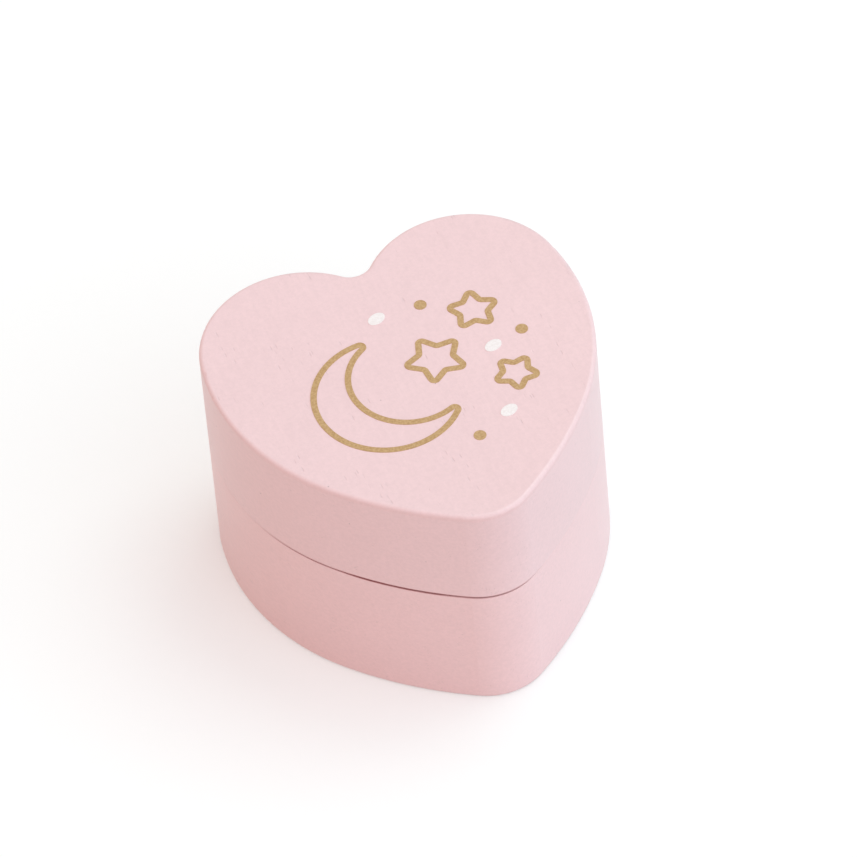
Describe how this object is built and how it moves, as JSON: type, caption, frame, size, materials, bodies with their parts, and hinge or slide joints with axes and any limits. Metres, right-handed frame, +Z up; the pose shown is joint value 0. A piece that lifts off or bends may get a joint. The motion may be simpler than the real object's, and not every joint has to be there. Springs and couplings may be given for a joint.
{
  "type": "keepsake box",
  "caption": "Heart-shaped painted wooden keepsake box with a lift-off lid, hollow inside, for baby teeth; a locating ring in the base centres the lid.",
  "frame": {"origin": "centre of the underside's bounding box, on the surface that the box stands on", "axes": "+Z up, the way the lid lifts off; -Y towards the heart's tip; +X across the lobes, to the right when the tip points at the viewer"},
  "size_m": [0.055, 0.0554, 0.0383],
  "materials": {
    "painted_wood": "wood with a matte pale pink paint outside, bare inside",
    "bare_wood": "fine sanded pale hardwood, not painted",
    "gold_ink": "thin satin print in a golden tan",
    "white_ink": "thin satin print in white"
  },
  "bodies": {
    "base": {"base_body": "painted_wood", "locating_ring": "bare_wood"},
    "lid": {"lid_body": "painted_wood", "gold_print": "gold_ink", "white_print": "white_ink"}
  },
  "joints": [
    {"name": "lid_lift", "type": "slide", "parent": "base", "child": "lid", "axis": [0, 0, 1], "range_m": [0, 0.05]}
  ]
}
